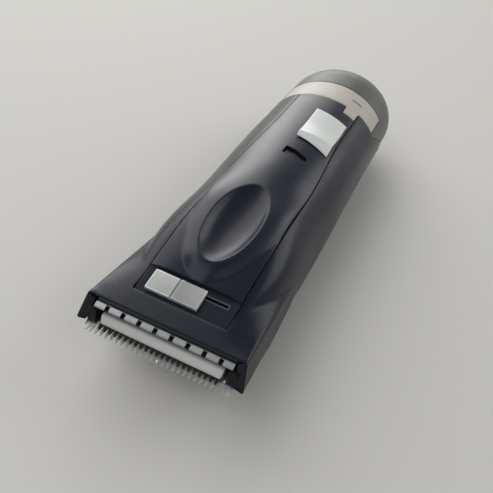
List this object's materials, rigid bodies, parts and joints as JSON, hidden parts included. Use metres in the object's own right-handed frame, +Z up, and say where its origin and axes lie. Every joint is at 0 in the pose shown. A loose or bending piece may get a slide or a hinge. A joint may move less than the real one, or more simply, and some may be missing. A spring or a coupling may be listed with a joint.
{
  "type": "cordless hair clipper",
  "caption": "Cordless hair clipper with a flared cutting head, a thumb dish, a sliding thinning guard, a slide switch and a rechargeable handle.",
  "frame": {"origin": "under the middle of the clipper's overall box, on the surface that it lies on", "axes": "+Z up with the thumb dish and switch on top, +Y along the handle from the blade to the charging end, +X across the blade"},
  "size_m": [0.0506, 0.1684, 0.0367],
  "materials": {
    "housing_plastic": "satin moulded navy plastic",
    "cover_plastic": "satin moulded navy plastic, slightly glossier than the housing",
    "band_plastic": "cream moulded plastic",
    "cap_plastic": "fine-textured warm grey plastic",
    "white_plastic": "off-white moulded plastic",
    "silver_plastic": "silver-coated satin plastic",
    "black_plastic": "black moulded plastic",
    "blade_steel": "ground blade steel",
    "cutter_steel": "dark ground blade steel",
    "guard_steel": "satin-plated sheet steel",
    "plated_steel": "bright zinc-plated steel",
    "contact_brass": "gold-flashed brass",
    "cell_sleeve": "shrink sleeve over a steel can",
    "board_laminate": "glass-fibre laminate",
    "smoked_lens": "smoked clear plastic",
    "lamp_resin": "diffused lamp resin"
  },
  "bodies": {
    "body": {"lower_housing": "housing_plastic", "top_cover": "cover_plastic", "rear_band": "band_plastic", "end_cap": "cap_plastic", "charging_socket": "black_plastic", "socket_pin": "contact_brass", "fixed_comb": "blade_steel", "cutter_frame": "black_plastic", "tension_spring": "plated_steel", "comb_screw_left": "plated_steel", "comb_screw_right": "plated_steel", "motor": "plated_steel", "battery_cell_left": "cell_sleeve", "battery_cell_right": "cell_sleeve", "cell_contact_strip": "plated_steel", "battery_tray": "black_plastic", "circuit_board": "board_laminate", "switch_block": "black_plastic", "status_window": "smoked_lens", "status_lamp": "lamp_resin", "housing_screw_front_left": "plated_steel", "housing_screw_front_right": "plated_steel", "housing_screw_middle": "plated_steel", "housing_screw_rear": "plated_steel"},
    "cutter": {"moving_cutter": "cutter_steel", "cutter_carrier": "white_plastic"},
    "guard": {"thinning_guard": "guard_steel"},
    "thinner": {"thinning_slider": "silver_plastic", "slider_cam_pin": "plated_steel"},
    "rotor": {"motor_shaft": "plated_steel", "eccentric_crank": "white_plastic"},
    "switch": {"power_switch": "white_plastic"}
  },
  "joints": [
    {"name": "cutter_slide", "type": "slide", "parent": "body", "child": "cutter", "axis": [1, 0, 0], "range_m": [-0.0012, 0.0012]},
    {"name": "thinning_slide", "type": "slide", "parent": "body", "child": "thinner", "axis": [1, 0, 0], "range_m": [0, 0.0087]},
    {"name": "guard_slide", "type": "slide", "parent": "body", "child": "guard", "axis": [0, -1, 0], "range_m": [0, 0.003]},
    {"name": "motor_spin", "type": "hinge", "parent": "body", "child": "rotor", "pos_m": [0, -0.054, 0.0163], "axis": [0, 1, 0], "continuous": true},
    {"name": "power_slide", "type": "slide", "parent": "body", "child": "switch", "axis": [0, -1, 0], "range_m": [0, 0.004]}
  ],
  "couplings": [
    {"joint": "guard_slide", "follows": "thinning_slide", "ratio": 0.3448}
  ]
}
